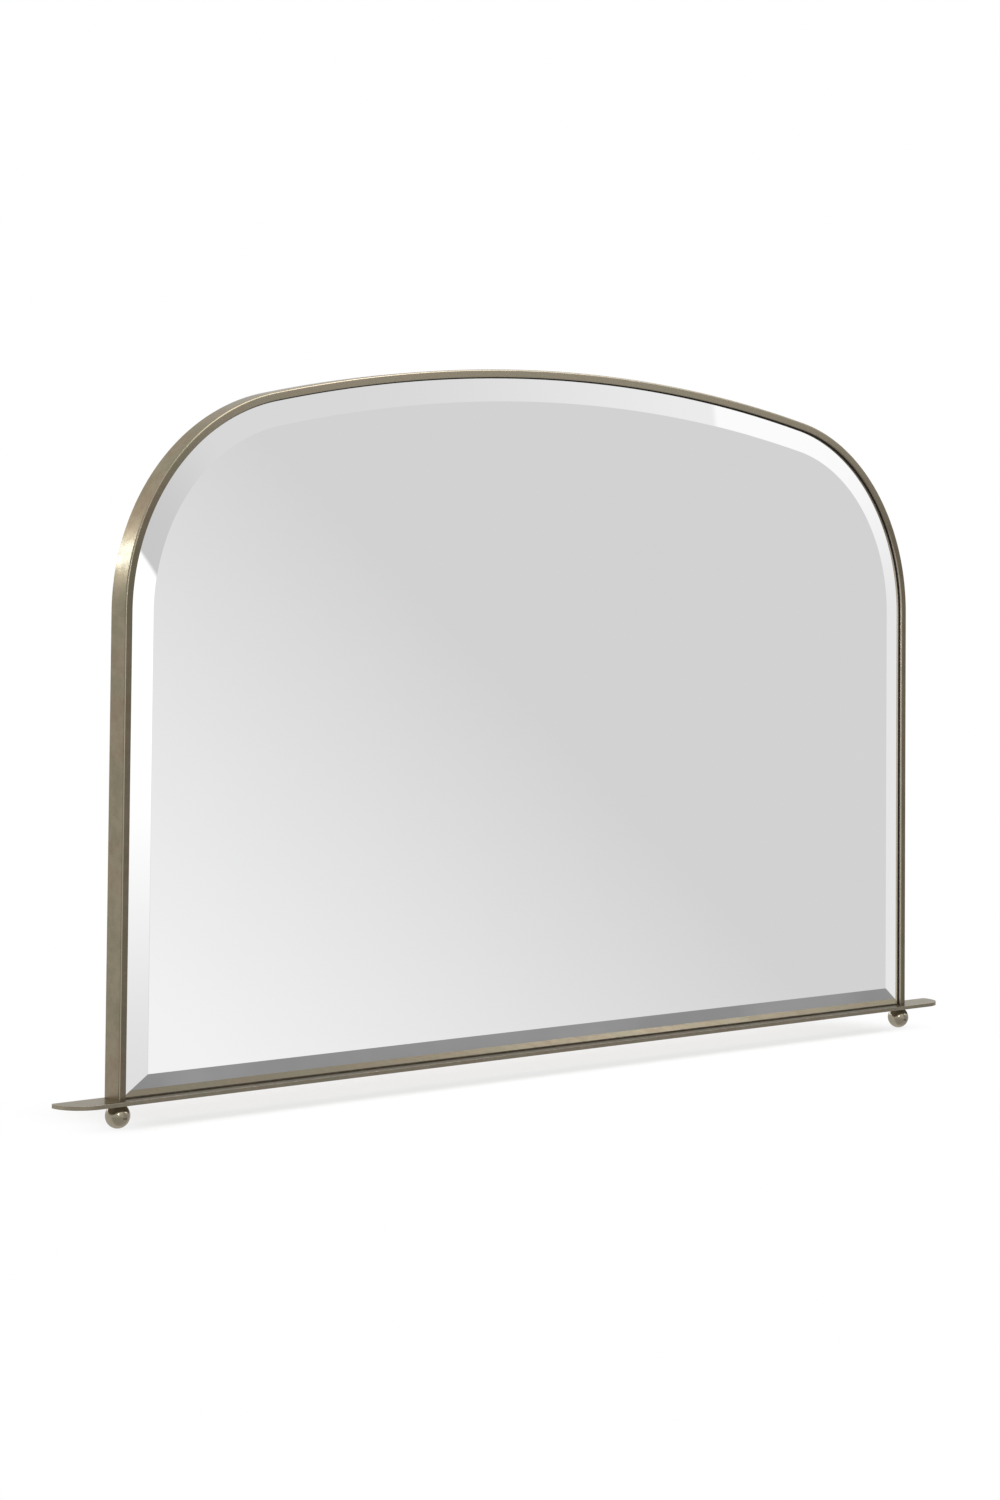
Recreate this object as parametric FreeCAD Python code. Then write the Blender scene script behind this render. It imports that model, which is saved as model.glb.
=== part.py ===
import FreeCAD, Part
import math
import os

# Arched overmantel mirror with beveled glass, in millimetres.
# A bent steel channel makes the arch. It stands on a flat base bar with two ball feet.
# The glass and its backing slide up into the channel from below, and the bar closes the channel.
# +X runs along the bar, +Y points to the wall and +Z points up. The origin lies on the wall plane,
# on the middle of the bar's back edge.

# The arch, measured outside the frame: straight posts, two corner arcs and a flat crown arc
# that rises a little above the corners
frame_width = 1146.0
post_height = 474.0
corner_radius = 229.0
crown_rise = 36.0

# The frame's channel section
frame_depth = 25.0
face_width = 8.5
wall_thickness = 2.0
lip_thickness = 3.0
front_edge_radius = 1.8
back_edge_chamfer = 0.6
lip_edge_chamfer = 0.5

# The base bar
bar_thickness = 4.0
bar_projection = 12.0
bar_overhang = 62.0
bar_end_flat = 2.0
bar_back_corner_radius = 3.0
bar_edge_chamfer = 0.9

# The ball feet and their studs
ball_diameter = 25.0
ball_setback = 20.0
ball_seat_radius = 4.0
stud_diameter = 5.0
stud_depth_in_ball = 9.0
stud_stop_below_bar_top = 0.5

# The blocks in the feet of the posts, and the screws that hold the bar to them
foot_block_height = 22.0
post_screw_diameter = 4.0
post_screw_head_diameter = 7.6
post_screw_head_height = 2.2
post_screw_length = 18.0
screw_head_recess = 0.2
thread_clearance = 0.05

# The glass and its silvering
glass_thickness = 6.0
glass_edge_thickness = 3.0
lip_cover = 2.0
bevel_width = 28.0
bottom_bevel_width = 21.0
silvering_thickness = 0.2
silvering_margin = 1.0

# The rubber round the glass. Its bead shows as a thin dark line inside the lip.
gasket_thickness = 1.0
gasket_bead = 1.0
gasket_play = 0.2
setting_strip_height = 1.0

# The tape between the silvering and the backing board
tape_count = 5
tape_width = 19.0
tape_thickness = 1.6
tape_side_margin = 133.0
tape_end_margin = 60.0

# The backing board
board_thickness = 8.0
board_play = 1.5
board_notch_play = 1.0

# The bowed springs between the board and the channel's rear lip
spring_length = 38.0
spring_width = 12.0
spring_thickness = 0.6
spring_wall_gap = 1.5
spring_play = 0.1
spring_place_shares = (0.11, 0.32, 0.53, 0.77)

# The brackets that hold the board to the bar
bracket_spacing = 380.0
bracket_width = 16.0
bracket_height = 18.0
bracket_thickness = 1.5
bracket_wall_gap = 0.7
bracket_hole_height = 11.0
bracket_bolt_diameter = 3.0
bracket_bolt_head_diameter = 5.4
bracket_bolt_head_height = 1.6

# The wood screws in the board
wood_screw_diameter = 3.0
wood_screw_length = 7.0
wood_screw_head_diameter = 6.0
wood_screw_head_height = 2.0

# The strap hangers and their rings
hanger_spacing = 760.0
hanger_height = 520.0
hanger_strap_width = 15.0
hanger_strap_length = 46.0
hanger_strap_thickness = 1.5
hanger_loop_width = 12.0
hanger_loop_lift = 0.2
hanger_first_screw = 23.5
hanger_second_screw = 37.5
ring_wire_diameter = 3.0
ring_running_clearance = 0.1
ring_half_width = 13.0
ring_corner_radius = 3.0
ring_corner_steps = 3
ring_bow_steps = 10

# Every cut runs past the faces that it cuts by this much
overrun = 5.0
seam_tolerance = 0.01

# Places that follow from the sizes above
bar_top = bar_thickness / 2
bar_bottom = -bar_thickness / 2
frame_front = -frame_depth
bar_front = -frame_depth - bar_projection
half_width = frame_width / 2
half_bar = half_width + bar_overhang
lip_back = frame_front + lip_thickness
rear_lip_front = -lip_thickness
glass_inset = face_width - lip_cover
bevel_slope = (glass_thickness - glass_edge_thickness) / bevel_width
glass_edge_front = lip_back + gasket_thickness + (lip_cover + gasket_bead) * bevel_slope
glass_back = glass_edge_front + glass_edge_thickness
glass_front = glass_back - glass_thickness
glass_bottom = bar_top + setting_strip_height
tape_front = glass_back + silvering_thickness
board_front = tape_front + tape_thickness
board_back = board_front + board_thickness
board_inset = wall_thickness + board_play
tape_spacing = 2 * (half_width - tape_side_margin) / (tape_count - 1)
post_middle = half_width - face_width / 2
block_middle = half_width - (face_width + wall_thickness) / 2
screw_depth = (board_front + rear_lip_front) / 2
ball_depth = bar_front + ball_setback
ball_radius = ball_diameter / 2
ball_middle = bar_bottom - math.sqrt(ball_radius ** 2 - ball_seat_radius ** 2)

# The ring turns in the strap's loop, just clear of the strap
hanger_loop_bore = ring_wire_diameter / 2 + ring_running_clearance
hanger_loop_radius = hanger_loop_bore + hanger_strap_thickness
hanger_axis_y = board_back + hanger_loop_radius + hanger_loop_lift
hanger_axis_z = bar_top + hanger_height

# The arch has three centres: two corner arcs and one crown arc that touches both
corner_centre_x = half_width - corner_radius
corner_centre_z = bar_top + post_height
crown_top_z = corner_centre_z + corner_radius + crown_rise
crown_radius = corner_radius + (corner_centre_x ** 2 + crown_rise ** 2) / (2 * crown_rise)
crown_centre_z = crown_top_z - crown_radius
touch_angle = math.atan2(corner_centre_z - crown_centre_z, corner_centre_x)


def vec(x, y, z):
    """A point or direction."""
    return FreeCAD.Vector(x, y, z)


def polar(centre_x, centre_z, radius, angle, y):
    """The point at an angle on a circle in the plane of the mirror."""
    return vec(centre_x + radius * math.cos(angle), y, centre_z + radius * math.sin(angle))


def arch_wire(inset, bottom, y):
    """The arch's outline, set in from the frame's outside, closed by a straight bottom."""
    side = half_width - inset
    corner = corner_radius - inset
    crown = crown_radius - inset
    right_foot = vec(side, y, bottom)
    right_spring = vec(side, y, corner_centre_z)
    right_mid = polar(corner_centre_x, corner_centre_z, corner, touch_angle / 2, y)
    right_touch = polar(corner_centre_x, corner_centre_z, corner, touch_angle, y)
    top = vec(0, y, crown_centre_z + crown)
    left_foot, left_spring, left_mid, left_touch = [
        vec(-p.x, p.y, p.z) for p in (right_foot, right_spring, right_mid, right_touch)]
    edges = [
        Part.LineSegment(left_foot, right_foot).toShape(),
        Part.LineSegment(right_foot, right_spring).toShape(),
        Part.Arc(right_spring, right_mid, right_touch).toShape(),
        Part.Arc(right_touch, top, left_touch).toShape(),
        Part.Arc(left_touch, left_mid, left_spring).toShape(),
        Part.LineSegment(left_spring, left_foot).toShape(),
    ]
    return Part.Wire(edges)


def arch_plate(inset, bottom, front, back):
    """A flat plate with the arch's outline, between two depths."""
    return Part.Face(arch_wire(inset, bottom, front)).extrude(vec(0, back - front, 0))


def arch_band(outer_inset, inner_inset, bottom, front, back):
    """A band that follows the arch and is open at the bottom."""
    plate = arch_plate(outer_inset, bottom, front, back)
    return plate.cut(arch_plate(inner_inset, bottom - overrun, front - overrun, back + overrun))


def arch_height(x, inset):
    """How high the arch's inset outline stands at a distance from the middle."""
    touch_x = corner_centre_x + (corner_radius - inset) * math.cos(touch_angle)
    if abs(x) <= touch_x:
        return crown_centre_z + math.sqrt((crown_radius - inset) ** 2 - x ** 2)
    return corner_centre_z + math.sqrt((corner_radius - inset) ** 2 - (abs(x) - corner_centre_x) ** 2)


def along_band(share):
    """Place and outward angle on the frame's right half, from 0 at the foot to 1 at the crown."""
    corner_length = corner_radius * touch_angle
    crown_length = crown_radius * (math.pi / 2 - touch_angle)
    run = share * (post_height + corner_length + crown_length)
    if run <= post_height:
        return vec(half_width, 0, bar_top + run), 0
    run -= post_height
    if run <= corner_length:
        angle = run / corner_radius
        return polar(corner_centre_x, corner_centre_z, corner_radius, angle, 0), angle
    angle = touch_angle + (run - corner_length) / crown_radius
    return polar(0, crown_centre_z, crown_radius, angle, 0), angle


def box_between(low, high):
    """A box from its lowest to its highest corner."""
    return Part.makeBox(high[0] - low[0], high[1] - low[1], high[2] - low[2], vec(*low))


def mirrored(shape):
    """The same piece on the other side of the middle."""
    return shape.mirror(vec(0, 0, 0), vec(1, 0, 0))


def edges_on(shape, wire):
    """The edges of a shape whose ends and middle lie on a wire."""
    found = []
    for edge in shape.Edges:
        middle = edge.valueAt((edge.FirstParameter + edge.LastParameter) / 2)
        spots = [v.Point for v in edge.Vertexes] + [middle]
        if all(wire.distToShape(Part.Vertex(p))[0] < seam_tolerance for p in spots):
            found.append(edge)
    return found


def outline_edges(shape, outline):
    """The edges on an arch outline, without those of its straight bottom."""
    return [e for e in edges_on(shape, outline) if e.BoundBox.ZMax > bar_top + seam_tolerance]


def make_frame():
    """The bent channel: a side wall with a front lip and a rear lip, open to the inside."""
    body = arch_plate(0, bar_top, frame_front, 0)
    body = body.makeFillet(front_edge_radius, outline_edges(body, arch_wire(0, bar_top, frame_front)))
    body = body.makeChamfer(back_edge_chamfer, outline_edges(body, arch_wire(0, bar_top, 0)))
    hollow = arch_plate(wall_thickness, bar_top - overrun, lip_back, rear_lip_front)
    opening = arch_plate(face_width, bar_top - overrun, frame_front - overrun, overrun)
    channel = body.cut(hollow).cut(opening)
    lip_edges = outline_edges(channel, arch_wire(face_width, bar_top, frame_front))
    return channel.makeChamfer(lip_edge_chamfer, lip_edges)


def bar_outline():
    """The bar from above: the front corners are almost quarter rounds, the back ones are small."""
    end_radius = -bar_front - bar_back_corner_radius - bar_end_flat
    back_radius = bar_back_corner_radius
    slant = math.sqrt(0.5)
    front_centre = vec(half_bar - end_radius, bar_front + end_radius, bar_bottom)
    back_centre = vec(half_bar - back_radius, -back_radius, bar_bottom)
    right = [
        vec(front_centre.x, bar_front, bar_bottom),
        front_centre + vec(slant * end_radius, -slant * end_radius, 0),
        vec(half_bar, front_centre.y, bar_bottom),
        vec(half_bar, back_centre.y, bar_bottom),
        back_centre + vec(slant * back_radius, slant * back_radius, 0),
        vec(back_centre.x, 0, bar_bottom),
    ]
    left = [vec(-p.x, p.y, p.z) for p in right]
    edges = [
        Part.LineSegment(left[0], right[0]).toShape(),
        Part.Arc(right[0], right[1], right[2]).toShape(),
        Part.LineSegment(right[2], right[3]).toShape(),
        Part.Arc(right[3], right[4], right[5]).toShape(),
        Part.LineSegment(right[5], left[5]).toShape(),
        Part.Arc(left[5], left[4], left[3]).toShape(),
        Part.LineSegment(left[3], left[2]).toShape(),
        Part.Arc(left[2], left[1], left[0]).toShape(),
    ]
    return Part.Wire(edges)


def make_bar():
    """The flat bar with softened edges and its holes for studs, post screws and bracket bolts."""
    bar = Part.Face(bar_outline()).extrude(vec(0, 0, bar_thickness))
    rims = [e for e in bar.Edges if e.BoundBox.ZLength < seam_tolerance]
    bar = bar.makeChamfer(bar_edge_chamfer, rims)
    holes = []
    for side in (-1, 1):
        stud_hole = Part.makeCylinder(
            stud_diameter / 2 + thread_clearance, bar_thickness + 2 * overrun,
            vec(side * post_middle, ball_depth, bar_bottom - overrun))
        holes.append(stud_hole)
        holes.append(post_screw(side, thread_clearance, overrun))
    for place in bracket_places():
        bolt_hole = Part.makeCylinder(
            bracket_bolt_diameter / 2 + thread_clearance, bar_thickness + 2 * overrun,
            vec(place, bolt_depth(), bar_bottom - overrun))
        holes.append(bolt_hole)
    return bar.cut(holes)


def make_ball(side):
    """A turned ball with a small flat seat on top and a blind tapped hole."""
    middle = vec(side * post_middle, ball_depth, ball_middle)
    ball = Part.makeSphere(ball_radius, middle)
    over_seat = box_between(
        (middle.x - ball_radius, middle.y - ball_radius, bar_bottom),
        (middle.x + ball_radius, middle.y + ball_radius, bar_bottom + ball_radius))
    tapped = Part.makeCylinder(
        stud_diameter / 2 + thread_clearance, stud_depth_in_ball + overrun,
        vec(middle.x, middle.y, bar_bottom - stud_depth_in_ball))
    return ball.cut([over_seat, tapped])


def make_stud(side):
    """The stud that screws into the ball and the bar."""
    bottom = bar_bottom - stud_depth_in_ball
    length = bar_top - stud_stop_below_bar_top - bottom
    return Part.makeCylinder(stud_diameter / 2, length, vec(side * post_middle, ball_depth, bottom))


def post_screw(side, grown, run_out):
    """A countersunk screw from below, as a piece or, grown by a clearance, as its own hole."""
    base = bar_bottom + screw_head_recess
    shank = post_screw_diameter / 2 + grown
    head = post_screw_head_diameter / 2 + grown
    neck = base + post_screw_head_height
    tip = base + post_screw_length
    points = [
        vec(0, 0, base - run_out),
        vec(head, 0, base - run_out),
        vec(head, 0, base),
        vec(shank, 0, neck),
        vec(shank, 0, tip),
        vec(0, 0, tip),
    ]
    if run_out == 0:
        points.pop(1)
    profile = Part.Face(Part.makePolygon(points + [points[0]]))
    screw = profile.revolve(vec(0, 0, 0), vec(0, 0, 1), 360)
    screw.translate(vec(side * block_middle, screw_depth, 0))
    return screw


def make_foot_block():
    """The tapped block welded into the foot of the right post, behind the glass."""
    block = box_between(
        (half_width - face_width, board_front, bar_top),
        (half_width - wall_thickness, rear_lip_front, bar_top + foot_block_height))
    return block.cut(post_screw(1, thread_clearance, overrun))


def make_glass():
    """Float glass with a flat-ground bevel all round, mitred at the two bottom corners."""
    slab = arch_plate(glass_inset, glass_bottom, glass_edge_front, glass_back)
    edge = arch_wire(glass_inset, glass_bottom, glass_edge_front)
    flat = arch_wire(glass_inset + bevel_width, glass_bottom + bottom_bevel_width, glass_front)
    bevel = Part.makeLoft([edge, flat], True, True)
    return slab.fuse(bevel).removeSplitter()


def make_silvering():
    """The silver, copper and paint on the back of the glass, stopped short of its edge."""
    inset = glass_inset + silvering_margin
    return arch_plate(inset, glass_bottom + silvering_margin, glass_back, tape_front)


def make_gasket():
    """The L-shaped rubber between the glass and the channel."""
    outer = wall_thickness + gasket_play
    leg_back = lip_back + gasket_thickness
    front_leg = arch_band(outer, face_width + gasket_bead, bar_top, lip_back, leg_back)
    side_leg = arch_band(outer, glass_inset - gasket_play, bar_top, leg_back, board_front)
    return front_leg.fuse(side_leg).removeSplitter()


def make_setting_strip():
    """The rubber strip on the bar that carries the glass."""
    side = half_width - face_width - gasket_bead
    return box_between((-side, lip_back, bar_top), (side, board_front, glass_bottom))


def make_tape(index):
    """One upright strip of foam tape."""
    middle = (index - (tape_count - 1) / 2) * tape_spacing
    reach = abs(middle) + tape_width / 2
    top = arch_height(reach, glass_inset) - tape_end_margin
    return box_between(
        (middle - tape_width / 2, tape_front, bar_top + tape_end_margin),
        (middle + tape_width / 2, board_front, top))


def make_board():
    """The backing board, notched round the two foot blocks."""
    board = arch_plate(board_inset, bar_top, board_front, board_back)
    notches = []
    for side in (-1, 1):
        inner = side * (half_width - face_width - board_notch_play)
        outer = side * (half_width + overrun)
        notch = box_between(
            (min(inner, outer), board_front - overrun, bar_top - overrun),
            (max(inner, outer), board_back + overrun, bar_top + foot_block_height + board_notch_play))
        notches.append(notch)
    return board.cut(notches)


def make_spring(share):
    """A bowed strip whose ends press on the board and whose middle presses on the rear lip."""
    half = spring_length / 2
    crest = rear_lip_front - spring_play
    foot = board_back
    inner = -wall_thickness - spring_wall_gap
    low, high = vec(inner, foot, -half), vec(inner, foot, half)
    low_top, high_top = vec(inner, foot + spring_thickness, -half), vec(inner, foot + spring_thickness, half)
    profile = Part.Face(Part.Wire([
        Part.Arc(low, vec(inner, crest - spring_thickness, 0), high).toShape(),
        Part.LineSegment(high, high_top).toShape(),
        Part.Arc(high_top, vec(inner, crest, 0), low_top).toShape(),
        Part.LineSegment(low_top, low).toShape(),
    ]))
    spring = profile.extrude(vec(-spring_width, 0, 0))
    place, angle = along_band(share)
    spring.rotate(vec(0, 0, 0), vec(0, 1, 0), -math.degrees(angle))
    spring.translate(place)
    return spring


def bracket_places():
    """The brackets' middles along the bar."""
    return (-bracket_spacing, 0, bracket_spacing)


def bolt_depth():
    """How far the bracket bolts stand from the wall plane."""
    return (board_back + bracket_thickness - bracket_wall_gap) / 2


def make_bracket(middle):
    """A small steel angle behind the board, bolted down to the bar."""
    left, right = middle - bracket_width / 2, middle + bracket_width / 2
    upright = box_between(
        (left, board_back, bar_top), (right, board_back + bracket_thickness, bar_top + bracket_height))
    foot = box_between((left, board_back, bar_top), (right, -bracket_wall_gap, bar_top + bracket_thickness))
    bolt_hole = Part.makeCylinder(
        bracket_bolt_diameter / 2 + thread_clearance, bracket_thickness + 2 * overrun,
        vec(middle, bolt_depth(), bar_top - overrun))
    screw_hole = wood_screw_hole(middle, bar_top + bracket_hole_height)
    return upright.fuse(foot).removeSplitter().cut([bolt_hole, screw_hole])


def wood_screw_hole(x, z):
    """A hole along the depth for one wood screw."""
    radius = wood_screw_diameter / 2 + thread_clearance
    return Part.makeCylinder(radius, -board_back + overrun, vec(x, board_back - overrun, z), vec(0, 1, 0))


def wood_screw(x, z, plate_thickness):
    """A cheese-head screw through a plate into the board."""
    head = Part.makeCylinder(wood_screw_head_diameter / 2, wood_screw_head_height)
    shank = Part.makeCylinder(wood_screw_diameter / 2, wood_screw_length, vec(0, 0, -wood_screw_length))
    screw = head.fuse(shank)
    screw.rotate(vec(0, 0, 0), vec(1, 0, 0), -90)
    screw.translate(vec(x, board_back + plate_thickness, z))
    return screw


def bracket_bolt(middle):
    """A short bolt through a bracket's foot into the bar."""
    head = Part.makeCylinder(bracket_bolt_head_diameter / 2, bracket_bolt_head_height)
    length = bracket_thickness + bar_thickness - screw_head_recess
    shank = Part.makeCylinder(bracket_bolt_diameter / 2, length, vec(0, 0, -length))
    bolt = head.fuse(shank)
    bolt.translate(vec(middle, bolt_depth(), bar_top + bracket_thickness))
    return bolt


def drilled_board():
    """The board with a pilot hole for each wood screw."""
    board = make_board()
    holes = []
    for x, z, plate in bracket_screws() + hanger_screws():
        depth = wood_screw_length - plate
        holes.append(Part.makeCylinder(
            wood_screw_diameter / 2 + thread_clearance, depth + overrun,
            vec(x, board_back - depth, z), vec(0, 1, 0)))
    return board.cut(holes)


def bracket_screws():
    """The brackets' wood screws, as x, z and the thickness of the plate under the head."""
    return [(middle, bar_top + bracket_hole_height, bracket_thickness) for middle in bracket_places()]


def hanger_screws():
    """The hangers' wood screws, as x, z and the thickness of the plate under the head."""
    screws = []
    for side in (-1, 1):
        for drop in (hanger_first_screw, hanger_second_screw):
            screws.append((side * hanger_spacing / 2, hanger_axis_z - drop, hanger_strap_thickness))
    return screws


def make_hanger_plate(middle):
    """A strap that is curled round the ring's straight side and screwed to the board."""
    end_radius = hanger_strap_width / 2
    end_z = hanger_axis_z - hanger_strap_length + end_radius
    strap = box_between(
        (middle - end_radius, board_back, end_z),
        (middle + end_radius, board_back + hanger_strap_thickness, hanger_axis_z))
    rounded_end = Part.makeCylinder(
        end_radius, hanger_strap_thickness, vec(middle, board_back, end_z), vec(0, 1, 0))
    loop = Part.makeCylinder(
        hanger_loop_radius, hanger_loop_width,
        vec(middle - hanger_loop_width / 2, hanger_axis_y, hanger_axis_z), vec(1, 0, 0))
    shoulder = box_between(
        (middle - end_radius - overrun, board_back - overrun, hanger_axis_z - hanger_loop_radius),
        (middle - hanger_loop_width / 2, -board_back, hanger_axis_z + overrun))
    other_shoulder = box_between(
        (middle + hanger_loop_width / 2, board_back - overrun, hanger_axis_z - hanger_loop_radius),
        (middle + end_radius + overrun, -board_back, hanger_axis_z + overrun))
    bore = Part.makeCylinder(
        hanger_loop_bore, hanger_loop_width + 2 * overrun,
        vec(middle - hanger_loop_width / 2 - overrun, hanger_axis_y, hanger_axis_z), vec(1, 0, 0))
    plate = strap.fuse([rounded_end, loop]).cut([shoulder, other_shoulder, bore])
    screws = [wood_screw_hole(middle, hanger_axis_z - drop) for drop in (hanger_first_screw, hanger_second_screw)]
    return plate.cut(screws).removeSplitter()


def bent_wire(centre, radius, first, last, steps):
    """Round wire along an arc in the ring's plane, ruled between circles. Angles are in degrees."""
    circles = []
    for step in range(steps + 1):
        angle = math.radians(first + (last - first) * step / steps)
        outward = vec(math.cos(angle), 0, math.sin(angle))
        along = vec(-outward.z, 0, outward.x)
        circles.append(Part.Wire(Part.makeCircle(ring_wire_diameter / 2, centre + outward * radius, along)))
    return Part.makeLoft(circles, True, True)


def make_ring(middle):
    """A D-shaped ring of round wire. Its straight side turns in the strap's loop."""
    straight = ring_half_width - ring_corner_radius
    bar = Part.makeCylinder(ring_wire_diameter / 2, 2 * straight, vec(-straight, 0, 0), vec(1, 0, 0))
    corner = bent_wire(vec(straight, 0, -ring_corner_radius), ring_corner_radius, 90, 0, ring_corner_steps)
    bow = bent_wire(vec(0, 0, -ring_corner_radius), ring_half_width, 0, -180, ring_bow_steps)
    ring = bar.fuse([corner, mirrored(corner), bow]).removeSplitter()
    ring.translate(vec(middle, hanger_axis_y, hanger_axis_z))
    return ring


def save(name, shape):
    """Writes one node and says how many solids it holds."""
    shape.exportStep("parts/%s.step" % name)
    print(name, "solids", len(shape.Solids), "volume", round(shape.Volume), "valid", shape.isValid())


os.makedirs("parts", exist_ok=True)

save("frame_hoop", make_frame())
save("base_bar", make_bar())
save("mirror_glass", make_glass())
save("mirror_silvering", make_silvering())
save("edge_gasket", make_gasket())
save("setting_strip", make_setting_strip())
save("backing_board", drilled_board())

sides = {"left": -1, "right": 1}
for name, side in sides.items():
    block = make_foot_block()
    save("foot_block_" + name, block if side > 0 else mirrored(block))
    hanger_middle = side * hanger_spacing / 2
    save("hanger_plate_" + name, make_hanger_plate(hanger_middle))
    save("hanger_ring_" + name, make_ring(hanger_middle))

for index in range(tape_count):
    save("mirror_tape_%d" % (index + 1), make_tape(index))

for number, share in enumerate(spring_place_shares, 1):
    spring = make_spring(share)
    save("spring_clip_right_%d" % number, spring)
    save("spring_clip_left_%d" % number, mirrored(spring))
save("spring_clip_crown", make_spring(1))

for name, middle in zip(("left", "centre", "right"), bracket_places()):
    save("board_bracket_" + name, make_bracket(middle))

# Pieces that are alike share a node each
save("ball_feet", Part.makeCompound([make_ball(side) for side in sides.values()]))
save("ball_studs", Part.makeCompound([make_stud(side) for side in sides.values()]))
save("post_screws", Part.makeCompound([post_screw(side, 0, 0) for side in sides.values()]))
save("bracket_bolts", Part.makeCompound([bracket_bolt(middle) for middle in bracket_places()]))
save("bracket_screws", Part.makeCompound([wood_screw(*spot) for spot in bracket_screws()]))
save("hanger_screws", Part.makeCompound([wood_screw(*spot) for spot in hanger_screws()]))
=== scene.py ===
# %% [markdown]
# # A beveled mirror in an arched metal frame
# The object is an overmantel mirror. A thin metal channel is bent into an arch round a sheet of
# silvered glass with a wide ground bevel, and the arch stands on a flat bar with two ball feet.
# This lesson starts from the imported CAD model, gives every piece its real finish, and lights it the
# way a product photographer would: soft, even and against white.

# %% Load the CAD frame
import math

import bmesh
import bpy
from mathutils import Matrix, Vector


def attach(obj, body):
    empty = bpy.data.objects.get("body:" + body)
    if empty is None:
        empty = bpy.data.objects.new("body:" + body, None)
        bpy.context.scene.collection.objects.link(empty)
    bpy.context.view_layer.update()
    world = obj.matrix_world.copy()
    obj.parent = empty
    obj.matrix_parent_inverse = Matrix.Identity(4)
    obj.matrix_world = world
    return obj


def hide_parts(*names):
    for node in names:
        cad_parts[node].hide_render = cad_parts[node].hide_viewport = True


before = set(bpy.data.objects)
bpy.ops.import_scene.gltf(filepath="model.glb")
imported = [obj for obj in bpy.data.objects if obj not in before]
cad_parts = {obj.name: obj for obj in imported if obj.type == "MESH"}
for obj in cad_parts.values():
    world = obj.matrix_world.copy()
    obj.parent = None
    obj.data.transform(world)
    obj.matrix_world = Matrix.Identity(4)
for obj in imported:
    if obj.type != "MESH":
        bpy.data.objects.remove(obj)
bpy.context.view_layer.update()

# %% [markdown]
# ## Where the camera stands
# The picture is taken from the left and from about mirror height, and both posts stand almost
# upright in it, although the camera looks a little upwards. A photographer gets that with a view
# camera, whose lens can be moved down against the film. Blender's lens shift does the same.

# %% Camera
picture_height = 1500
focal_length_in_pixels = 3110.58
lens_axis_row = 450
sensor_size = 36.0
camera_place = Vector((-2.3047, -2.5550, 0.5032))
camera_turn_to_right = 0.71937
camera_tilt_up = 0.04406
camera_roll = 0.00869

camera_data = bpy.data.cameras.new("camera")
camera_data.sensor_width = sensor_size
camera_data.lens = focal_length_in_pixels * sensor_size / picture_height
camera_data.shift_y = (lens_axis_row - picture_height / 2) / picture_height
camera = bpy.data.objects.new("camera", camera_data)
bpy.context.scene.collection.objects.link(camera)
turn = Matrix.Rotation(-camera_turn_to_right, 4, "Z")
tilt = Matrix.Rotation(math.pi / 2 + camera_tilt_up, 4, "X")
roll = Matrix.Rotation(camera_roll, 4, "Z")
camera.matrix_world = Matrix.Translation(camera_place) @ turn @ tilt @ roll
bpy.context.scene.camera = camera
bpy.context.scene.view_settings.view_transform = "Standard"
print("lens", round(camera_data.lens, 2), "mm, shift", round(camera_data.shift_y, 3))

# %% [markdown]
# ## The sizes
# The new pieces repeat the sizes of the CAD pieces that they stand for, in metres. The arch is
# made of three arcs: two corner arcs and one wide crown arc that touches both.

# %% Sizes
mm = 0.001
frame_width = 1146 * mm
post_height = 474 * mm
corner_radius = 229 * mm
crown_rise = 36 * mm

frame_depth = 25 * mm
face_width = 8.5 * mm
wall_thickness = 2 * mm
lip_thickness = 3 * mm
front_edge_radius = 2 * mm
back_edge_radius = 0.6 * mm
lip_edge_radius = 0.8 * mm
lip_back_radius = 0.3 * mm

bar_thickness = 4 * mm
bar_projection = 12 * mm
bar_overhang = 62 * mm
bar_end_flat = 2 * mm
bar_back_corner_radius = 3 * mm
bar_edge_radius = 1.2 * mm

glass_thickness = 6 * mm
glass_edge_thickness = 3 * mm
lip_cover = 2 * mm
bevel_width = 28 * mm
bottom_bevel_width = 21 * mm
gasket_thickness = 1 * mm
gasket_bead = 1 * mm
setting_strip_height = 1 * mm
silvering_thickness = 0.2 * mm
tape_thickness = 1.6 * mm
board_thickness = 8 * mm

half_width = frame_width / 2
half_bar = half_width + bar_overhang
bar_top = bar_thickness / 2
bar_bottom = -bar_thickness / 2
frame_front = -frame_depth
bar_front = frame_front - bar_projection
corner_centre_x = half_width - corner_radius
corner_centre_z = bar_top + post_height
crown_top_z = corner_centre_z + corner_radius + crown_rise
lip_back = frame_front + lip_thickness
rear_lip_front = -lip_thickness
glass_inset = face_width - lip_cover
bevel_drop = glass_thickness - glass_edge_thickness
glass_edge_front = lip_back + gasket_thickness + (lip_cover + gasket_bead) * bevel_drop / bevel_width
glass_back = glass_edge_front + glass_edge_thickness
glass_front = glass_back - glass_thickness
glass_bottom = bar_top + setting_strip_height
board_front = glass_back + silvering_thickness + tape_thickness
board_back = board_front + board_thickness
crown_radius = corner_radius + (corner_centre_x ** 2 + crown_rise ** 2) / (2 * crown_rise)
crown_centre_z = crown_top_z - crown_radius
touch_angle = math.atan2(corner_centre_z - crown_centre_z, corner_centre_x)
print("crown radius", round(crown_radius, 3), "m, corner arc", round(math.degrees(touch_angle), 1), "degrees")

# %% [markdown]
# ## Bending a section round the arch
# A real frame like this starts as a straight channel that is pulled round a former. The same can be
# done to an outline: draw it once at the foot of the right post, pull it up the post, spin it round
# the three arc centres, and pull it down the left post. Spin keeps every ring of points square to
# the arch, so the wall has the same thickness everywhere.

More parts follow.
